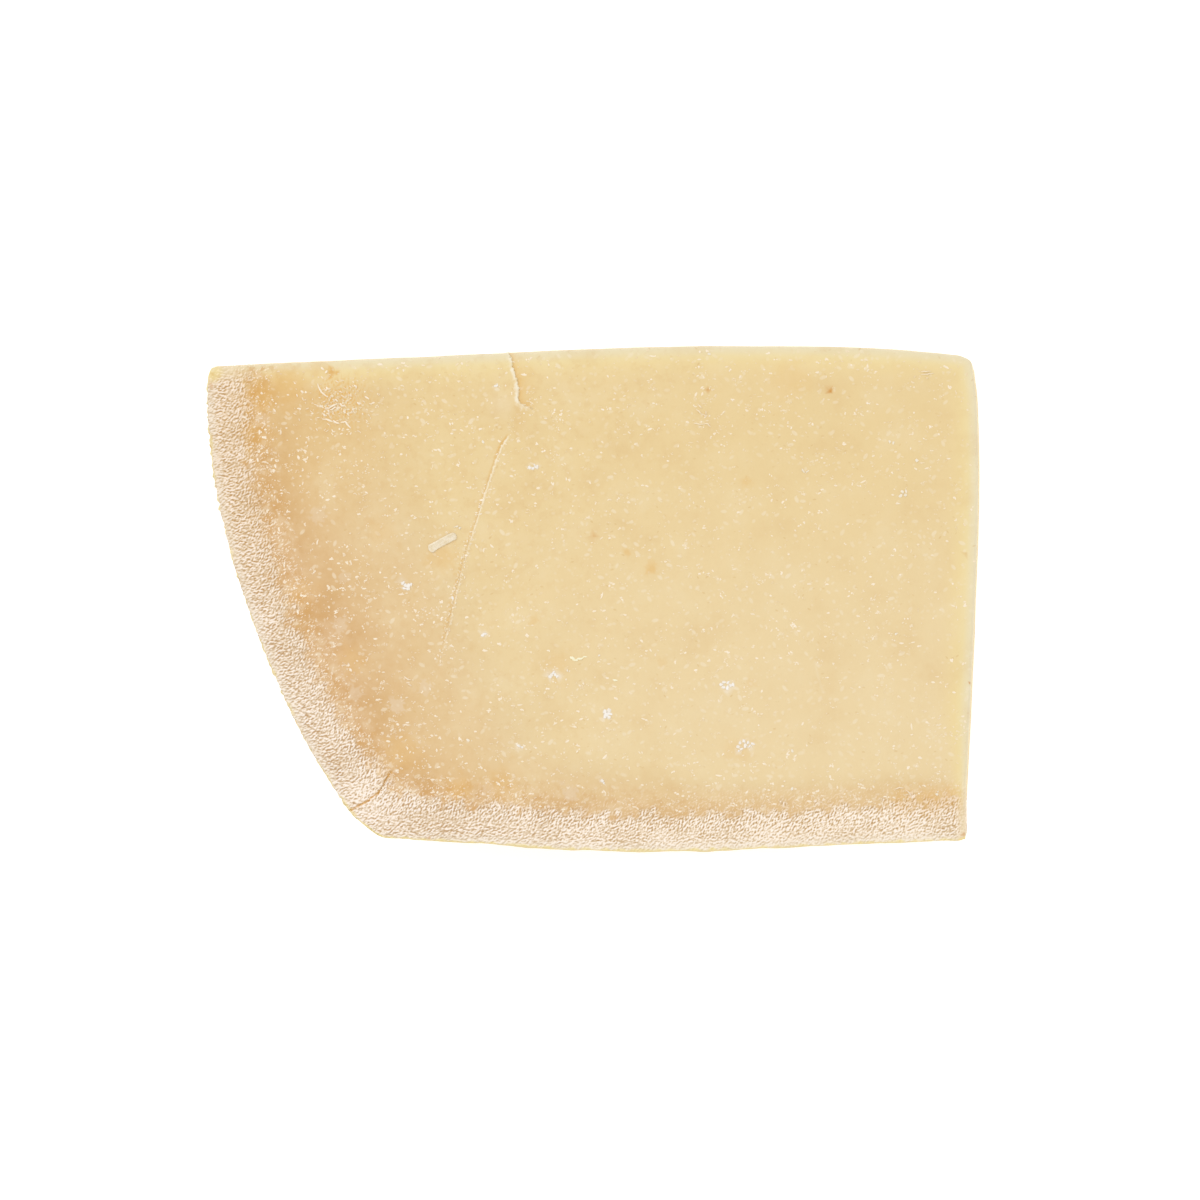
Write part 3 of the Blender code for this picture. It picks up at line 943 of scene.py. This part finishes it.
class Tree:
    """Short ways to add nodes to a group or a material."""

    def __init__(self, tree):
        self.tree = tree

    def node(self, kind, inputs=None, **settings):
        node = self.tree.nodes.new(kind if kind.startswith("Node") else "ShaderNode" + kind)
        for name, value in settings.items():
            setattr(node, name, value)
        self.feed(node, inputs or {})
        return node

    def feed(self, node, inputs):
        for name, value in inputs.items():
            if isinstance(value, Flow):
                self.tree.links.new(value.socket, node.inputs[name])
            else:
                node.inputs[name].default_value = value

    def flows(self, kind, inputs=None, **settings):
        """All that comes out of a new node."""
        return [Flow(self, socket) for socket in self.node(kind, inputs, **settings).outputs]

    def math(self, operation, first, second, clamp=False):
        return self.flows("Math", {0: first, 1: second}, operation=operation, use_clamp=clamp)[0]

    def moved(self, place, way):
        return self.flows("VectorMath", {0: place, 1: way}, operation="ADD")[0]

    def scaled(self, place, by):
        return self.flows("VectorMath", {0: place, 1: by}, operation="MULTIPLY")[0]

    def turned(self, place, angle):
        return self.flows("VectorRotate", {"Vector": place, "Angle": angle}, rotation_type="Z_AXIS")[0]

    def noise(self, place, scale, detail, roughness=0.5):
        return self.flows("TexNoise", {"Vector": place, "Scale": scale, "Detail": detail, "Roughness": roughness})[0]

    def span(self, value, low, high, out_low=0.0, out_high=1.0, soft=True):
        """A value's way from low to high, as one from out_low to out_high."""
        return self.flows("MapRange", {"Value": value, "From Min": low, "From Max": high, "To Min": out_low,
                                       "To Max": out_high}, interpolation_type="SMOOTHSTEP" if soft else "LINEAR")[0]

    def blend(self, share, *colours):
        """Two colours, each a flow or as it is seen, mixed by a share of the second."""
        first, second = (c if isinstance(c, Flow) else seen(*c) for c in colours)
        return Flow(self, self.node("Mix", {0: share, 6: first, 7: second}, data_type="RGBA").outputs[2])

    def paint(self, colour, *coats):
        """Coats of colour over each other, each with its mask."""
        for mask, coat in coats:
            colour = self.blend(mask, colour, coat)
        return colour

    def ramp(self, value, *stops):
        """A colour that changes with a value. Stops are a value and a colour as it is seen."""
        node = self.node("ValToRGB", {"Fac": value})
        elements = node.color_ramp.elements
        while len(elements) < len(stops):
            elements.new(0.5)
        for element, (place, *colour) in zip(elements, stops):
            element.position, element.color = place, seen(*colour)
        return Flow(self, node.outputs["Color"])

    def stored(self, name):
        return Flow(self, self.node("Attribute", attribute_name=name, attribute_type="GEOMETRY").outputs["Fac"])

    def group(self, group, **inputs):
        return self.flows("Group", {name.capitalize(): value for name, value in inputs.items()}, node_tree=group)[0]

    def give(self, value):
        """Ends a group."""
        self.node("NodeGroupOutput", {0: value})
        return self.tree


def new_group(name, output, **inputs):
    """A group's tree and its inputs, each named with its usual value, or None for a place."""
    group = bpy.data.node_groups.new(name, "ShaderNodeTree")
    for label, value in inputs.items():
        kind = "NodeSocketVector" if value is None else "NodeSocketFloat"
        socket = group.interface.new_socket(label.capitalize(), in_out="INPUT", socket_type=kind)
        if value is not None:
            socket.default_value = value
    kind = "NodeSocketColor" if output == "Color" else "NodeSocketFloat"
    group.interface.new_socket(output, in_out="OUTPUT", socket_type=kind)
    t = Tree(group)
    return t, *t.flows("NodeGroupInput")[:len(inputs)]


def fleck_group():
    """Small pale grains in the paste: short strokes cut through at random, each turned its own way."""
    t, place, cell, length, width, presence, turn = new_group(
        "paste flecks", "Mask", place=None, cell=0.002, length=0.0004, width=0.00015, presence=0.5, turn=1.0)
    cells = t.node("TexVoronoi", {"Vector": place, "Scale": 1.0 / cell}, feature="F1")
    heading, size, chance = t.flows("SeparateColor", {"Color": Flow(t, cells.outputs["Color"])})
    offset = t.flows("VectorMath", {0: place, 1: Flow(t, cells.outputs["Position"])}, operation="SUBTRACT")[0]
    long, across, deep = t.flows("SeparateXYZ", {"Vector": t.turned(offset, (heading - 0.5) * turn)})
    grown = t.span(size, 0.0, 1.0, 0.45, 1.3, soft=False)
    long, across, deep = long / (length * grown), across / (width * grown), deep / (length * 1.4)
    mask = t.span(long * long + across * across + deep * deep, 1.25, 0.35)
    return t.give(mask * t.math("LESS_THAN", chance, presence) * t.span(size, 0.0, 1.0, 0.35, 1.0, soft=False))


def mottle_group():
    """Soft uneven tone, from 0 to 1."""
    t, place, scale, detail, contrast = new_group(
        "mottle", "Value", place=None, scale=60.0, detail=3.0, contrast=1.0)
    return t.give(t.math("ADD", (t.noise(place, scale, detail, 0.55) - 0.5) * contrast, 0.5, clamp=True))


def grain_group():
    """Height of the finest grain of a surface: soft lumps, grit and small pits."""
    t, place, lumps, grit, pits = new_group("fine grain", "Height", place=None, lumps=900.0, grit=4000.0, pits=0.3)
    holes = t.flows("TexVoronoi", {"Vector": place, "Scale": lumps})[0]
    return t.give(t.noise(place, lumps, 2.0) * 0.6 + t.noise(place, grit, 1.0) * 0.4 - t.span(holes, 0.28, 0.0) * pits)


def torn_grain_group():
    """Fine torn grain, drawn out along one direction of the cut, in waves about nought."""
    t, place, scale, run, stretch, pitch = new_group(
        "torn grain", "Value", place=None, scale=1500.0, run=0.6, stretch=2.2, pitch=0.0006)
    drawn = t.scaled(t.turned(place, run * -1.0), t.flows("CombineXYZ", {0: 1.0 / stretch, 1: 1.0, 2: 1.0})[0])
    half = pitch / 2.0
    beside, behind = (t.moved(drawn, t.flows("CombineXYZ", {axis: half})[0]) for axis in (1, 0))
    crest, hollow, gap = (t.noise(spot, scale, 0.6, 0.6) for spot in (drawn, beside, behind))
    return t.give((crest - (hollow * 0.65 + gap * 0.35)) * 4.0)


def paste_group():
    """Paste colour: paler by its paleness, browner to the rind, painted glow of light at thin edges, softly uneven."""
    t, age, heart, edge, mottle = new_group("paste tone", "Color", age=0.0, heart=1.0, edge=20.0, mottle=0.5)
    paste = t.blend(heart, (237, 211, 158), (239, 215, 168))
    aged = t.ramp(age, (0.0, 236, 211, 163), (0.27, 234, 208, 160), (0.48, 233, 204, 156), (0.62, 231, 200, 151),
                  (0.77, 228, 194, 145), (0.88, 225, 189, 140), (1.0, 224, 186, 140))
    aged = t.blend(t.span(heart, 0.3, 0.0, 0.0, 0.32), aged, (230, 196, 130))
    # Painted glow of light through the thin edges of the cut, palest at the rim
    painted_edge_glow = t.ramp(edge / 8.0, (0.02, 238, 225, 192), (0.08, 239, 225, 186), (0.14, 240, 224, 182),
                  (0.25, 242, 222, 169), (0.38, 242, 219, 163), (1.0, 239, 214, 162))
    return t.give(t.paint(
        paste, (t.span(age, 0.0, 0.4), aged), (t.span(edge, 7.5, 1.6) * t.span(age, 1.0, 0.4, 0.6, 1.0), painted_edge_glow),
        (t.span(mottle, 0.5, 0.0, 0.0, 0.30), (226, 192, 136)), (t.span(mottle, 0.5, 1.0, 0.0, 0.26), (244, 226, 186)),
        (t.span(mottle, 0.62, 0.25) * t.span(age, 0.72, 1.0, 0.0, 0.6), (212, 166, 108))))


FLECKS, MOTTLE, GRAIN, TORN_GRAIN, PASTE = (
    fleck_group(), mottle_group(), grain_group(), torn_grain_group(), paste_group())


class Finish(Tree):
    """A material with one Principled shader."""

    def __init__(self, name):
        self.material = bpy.data.materials.new(name)
        self.material.use_nodes = True
        self.material.node_tree.nodes.clear()
        super().__init__(self.material.node_tree)
        self.shader = self.node("BsdfPrincipled")
        self.node("OutputMaterial", {"Surface": Flow(self, self.shader.outputs[0])})

    def place(self):
        return Flow(self, self.node("TexCoord").outputs["Object"])

    def give(self, colour, roughness, height, strength, distance, gloss=0.5):
        bump = self.flows("Bump", {"Height": height, "Strength": strength, "Distance": distance})[0]
        self.feed(self.shader, {"Base Color": colour, "Roughness": roughness, "Normal": bump,
                                "Specular IOR Level": gloss})
        return self.material


def cut_cheese():
    """The cut: pale paste, browner towards the rind, the torn rind band, a painted edge glow and pale grains."""
    t = Finish("cut cheese")
    place = t.place()
    shift, aside = t.moved(place, (0.31, 0.17, 0.05)), t.moved(place, (0.13, 0.41, 0.02))
    depth, band, by_plate, edge, heart, wall = (
        t.stored(name) for name in ("rind_depth", "band", "plate_share", "cut_edge", "pale_heart", "side_wall"))
    tone = t.group(MOTTLE, place=place, scale=120.0, detail=6.0, contrast=2.2)
    paste = t.group(PASTE, age=t.stored("ageing"), heart=heart, edge=edge, mottle=tone)

    # Curd grain: uneven patches, strongest just inside the rind
    curd = t.group(MOTTLE, place=shift, scale=620.0, detail=3.0, contrast=2.8)
    near = t.span(depth, 14.0, 8.5, 0.14, 0.85) * (1.0 - by_plate * 0.75)

    # The torn band: cream lips standing over amber hollows, their own colour plus painted highlight and shade
    flat = t.group(TORN_GRAIN, place=place, scale=3200.0, run=0.30, stretch=1.95, pitch=0.00058)
    steep = t.group(TORN_GRAIN, place=shift, scale=3200.0, run=0.86, stretch=1.8, pitch=0.00056)
    grain = flat + (steep - flat) * t.math("ADD", t.span(depth, 1.5, 7.5), by_plate * 0.45, clamp=True)
    wave = (t.stored("ridge") * t.span(by_plate, 0.0, 1.0, 0.46, 0.34, soft=False)
            + grain * t.span(depth, 0.0, 1.8, 2.0, 2.95))
    wave = wave * t.span(edge, 0.3, 3.6, 0.45, 1.0) * t.span(wall, 0.0, 1.0, 1.0, 0.72)
    wave = wave + by_plate * 0.42 + (tone - 0.5) * 1.3 + t.span(depth, 2.6, 0.2, 0.0, 0.4)
    torn_band = t.paint(
        t.ramp(t.span(wave, -2.5, 2.5, soft=False), (0.0, 191, 146, 94), (0.22, 209, 176, 131),
               (0.44, 228, 204, 173), (0.62, 250, 229, 204), (0.78, 262, 248, 232), (1.0, 268, 255, 244)),
        (by_plate * 0.14, (249, 231, 196)),
        (t.span(heart, 0.8, 0.0, 0.0, 0.25), (224, 190, 144)),
        (t.span(depth, 2.6, 0.2, 0.0, 0.36), (242, 230, 207)),
        (t.span(heart, 0.2, 0.7) * (1.0 - by_plate) * 0.14, (246, 234, 222)),
        # Painted glow of light through the thin edges of the cut
        (t.span(edge, 4.0, 0.4, 0.0, 0.52), (243, 226, 186)))
    in_paste = 1.0 - band
    single = (t.span(wave, 0.3, 1.6) * in_paste * t.span(depth, 13.5, 9.0)
              * t.span(by_plate, 0.0, 0.5, 1.0, 0.3, soft=False))

    # Pale grains scattered through the paste, and small pits coloured with painted shade
    clump = t.group(MOTTLE, place=shift, scale=90.0, detail=2.0, contrast=2.2)
    strokes = t.group(FLECKS, place=place, cell=0.0021, length=0.0006, width=0.00031, presence=0.85, turn=2.4)
    dots = t.group(FLECKS, place=shift, cell=0.0014, length=0.00036, width=0.00027, presence=0.8, turn=3.1)
    grains = t.math("MAXIMUM", strokes * 0.55, dots * 0.42) * in_paste * t.span(clump, 0.1, 0.8, 0.45, 1.0)
    pits = t.group(FLECKS, place=aside, cell=0.0015, length=0.00032, width=0.00015, presence=0.4, turn=2.0)
    pits = pits * in_paste * t.span(clump, 0.1, 0.8, 0.2, 0.5)

    colour = t.paint(
        paste, (t.span(curd, 0.5, 0.95, 0.0, 0.55) * near, (245, 223, 188)),
        (t.span(curd, 0.45, 0.08, 0.0, 0.78) * near, (214, 166, 106)), (band, torn_band), (single, (260, 241, 218)),
        # pits: painted shade in small hollows
        (t.stored("gilt"), (246, 224, 138)), (grains, (249, 234, 206)), (pits, (220, 184, 126)),
        (t.stored("pale") * 0.6, (236, 213, 182)), (t.stored("torn") * 0.88, (252, 243, 220)),
        # amber: painted shadow along the cracks and in the torn hollows, with real amber spots and tones
        (t.stored("amber") * 0.85, (230, 178, 92)), (t.stored("speck") * 0.85, (210, 144, 62)),
        # side walls darkened with painted shade
        (t.stored("chalk"), (250, 243, 230)), (wall * 0.12, (150, 118, 66)))

    # The wire leaves faint upright lines in the paste
    lines = t.noise(t.scaled(place, (2600.0, 40.0, 300.0)), 1.0, 2.0)
    fine = t.group(GRAIN, place=place, lumps=1400.0, grit=5200.0, pits=0.2)
    level = lines * 0.35 + fine * 0.5 + (grains - pits) * 0.6 + grain * band * 0.6
    return t.give(colour, t.span(tone, 0.0, 1.0, 0.46, 0.58) + band * 0.2, level, 0.5, 0.00012, gloss=0.4)


def rind_skin():
    """The dry natural outside: straw gold, softly uneven, with pores, dust, faint cloth lines and a pale rim."""
    t = Finish("natural rind")
    place = t.place()
    tone, patch, speckle = (t.group(MOTTLE, place=place, scale=scale, detail=detail, contrast=contrast) for
                            scale, detail, contrast in ((26.0, 4.0, 1.7), (95.0, 5.0, 1.9), (620.0, 4.0, 2.8)))
    pores = t.group(FLECKS, place=place, cell=0.0034, length=0.0005, width=0.0004, presence=0.3, turn=3.1)
    level, upright = (t.noise(t.scaled(place, way), 1.0, 2.0) for way in (
        (160.0, 1300.0, 160.0), (160.0, 160.0, 1300.0)))
    cloth = (level + upright) * 0.5
    colour = t.paint(
        t.ramp(tone, (0.0, 206, 164, 98), (0.35, 217, 177, 110), (0.65, 226, 189, 122), (1.0, 234, 202, 140)),
        (t.span(patch, 0.5, 1.0, 0.0, 0.34), (192, 144, 80)), (t.span(patch, 0.45, 0.0, 0.0, 0.32), (240, 216, 166)),
        (t.span(speckle, 0.62, 1.0, 0.0, 0.35), (188, 140, 80)),
        (t.span(speckle, 0.38, 0.0, 0.0, 0.35), (244, 224, 180)), (pores * 0.7, (160, 110, 58)),
        (t.span(cloth, 0.5, 0.68, 0.0, 0.28), (196, 148, 84)), (t.span(t.stored("rim"), 1.2, 0.1), (238, 220, 170)))
    fine = t.group(GRAIN, place=place, lumps=700.0, grit=3600.0, pits=0.4)
    return t.give(colour, t.span(tone, 0.0, 1.0, 0.40, 0.58), cloth + fine - pores * 0.8, 0.5, 0.0003, gloss=0.45)


def torn_paste():
    """Little torn tongues of paste: the stronger they stand out, the paler and drier they are."""
    t = Finish("torn paste")
    place = t.place()
    tone = t.group(MOTTLE, place=place, scale=900.0, detail=3.0, contrast=1.6)
    colour = t.blend(t.span(t.stored("strength"), 0.0, 1.0, 0.32, 1.0, soft=False),
                     t.group(PASTE, age=t.stored("ageing"), heart=t.stored("pale_heart"), edge=20.0, mottle=tone),
                     t.blend(tone, (250, 233, 203), (259, 246, 227)))
    fine = t.group(GRAIN, place=place, lumps=5000.0, grit=14000.0, pits=0.2)
    return t.give(colour, t.span(tone, 0.0, 1.0, 0.5, 0.7), fine, 0.4, 0.00003)


def white_crystal():
    """Hard chalky crystals that grew in the ripe paste."""
    t = Finish("white crystal")
    place = t.place()
    tone = t.group(MOTTLE, place=place, scale=1500.0, detail=4.0, contrast=2.0)
    colour = t.paint(t.blend(tone, (243, 232, 214), (255, 251, 247)),
                     (t.span(t.stored("strength"), 1.0, 0.0, 0.0, 0.8, soft=False), (243, 227, 192)))
    fine = t.group(GRAIN, place=place, lumps=4000.0, grit=12000.0, pits=0.4)
    return t.give(colour, t.span(tone, 0.0, 1.0, 0.32, 0.55), fine, 0.5, 0.00004)


def grated_cheese(name, low, high):
    """The shred and the chip: drier and paler than the cut."""
    t = Finish(name)
    place = t.place()
    tone = t.group(MOTTLE, place=place, scale=1300.0, detail=4.0, contrast=2.0)
    fine = t.group(GRAIN, place=place, lumps=3500.0, grit=9000.0, pits=0.3)
    return t.give(t.blend(tone, low, high), t.span(tone, 0.0, 1.0, 0.5, 0.65), fine, 0.5, 0.00004)


# ---------------------------------------------------------------- studio

def camera(shift):
    """A long lens square to the upper cut, framed as the photograph."""
    middle = px(PHOTO_SIDE / 2, PHOTO_SIDE / 2)
    target = (turned(*np.array([*middle, 0.0])[:, None])[0] + shift) / METRE
    data = bpy.data.cameras.new("camera")
    away = 0.95
    data.sensor_width = 36.0
    data.lens = data.sensor_width * away / (PHOTO_SIDE * PX / METRE)
    data.clip_start, data.clip_end = 0.05, 20.0
    eye = new_object("camera", data)
    eye.matrix_world = (Matrix.Translation(Vector(target)) @ Matrix.Rotation(WEDGE_ANGLE, 4, "Y")
                        @ Matrix.Translation((0, 0, away)))
    bpy.context.scene.camera = eye


def soft_light(name, place, size, power):
    data = bpy.data.lights.new(name, "AREA")
    data.shape, data.size, data.energy = "DISK", size, power
    lamp = new_object(name, data)
    lamp.location = place
    lamp.rotation_euler = (Vector((0.0, 0.0, 0.02)) - Vector(place)).to_track_quat("-Z", "Y").to_euler()


def studio():
    world = bpy.data.worlds.new("studio")
    bpy.context.scene.world = world
    world.use_nodes = True
    background = world.node_tree.nodes["Background"]
    background.inputs["Color"].default_value = (1.0, 1.0, 1.0, 1.0)
    background.inputs["Strength"].default_value = 0.93
    soft_light("key light", (-0.75, 0.75, 1.0), 0.6, 5.6)
    soft_light("fill light", (0.9, -0.6, 1.1), 1.0, 3.0)
    bpy.context.scene.view_settings.view_transform = "Standard"

    mesh = bpy.data.meshes.new("floor")
    shape = bmesh.new()
    bmesh.ops.create_grid(shape, x_segments=1, y_segments=1, size=8.0)
    shape.to_mesh(mesh)
    shape.free()
    t = Finish("pale floor")
    t.feed(t.shader, {"Base Color": (0.93, 0.93, 0.93, 1.0), "Roughness": 0.9, "Emission Color": (1.0, 1.0, 1.0, 1.0),
                      "Emission Strength": 0.35})
    mesh.materials.append(t.material)
    new_object("floor", mesh)


# ---------------------------------------------------------------- putting it together

wedge, shift = cheese_wedge()
wedge.data.materials.append(cut_cheese())
wedge.data.materials.append(rind_skin())
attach(wedge, "root")
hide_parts("cheese_chunk")
for small_pieces in (torn_flecks, white_crystals, grated_shred, torn_chip):
    small_pieces(shift)
camera(shift)
studio()
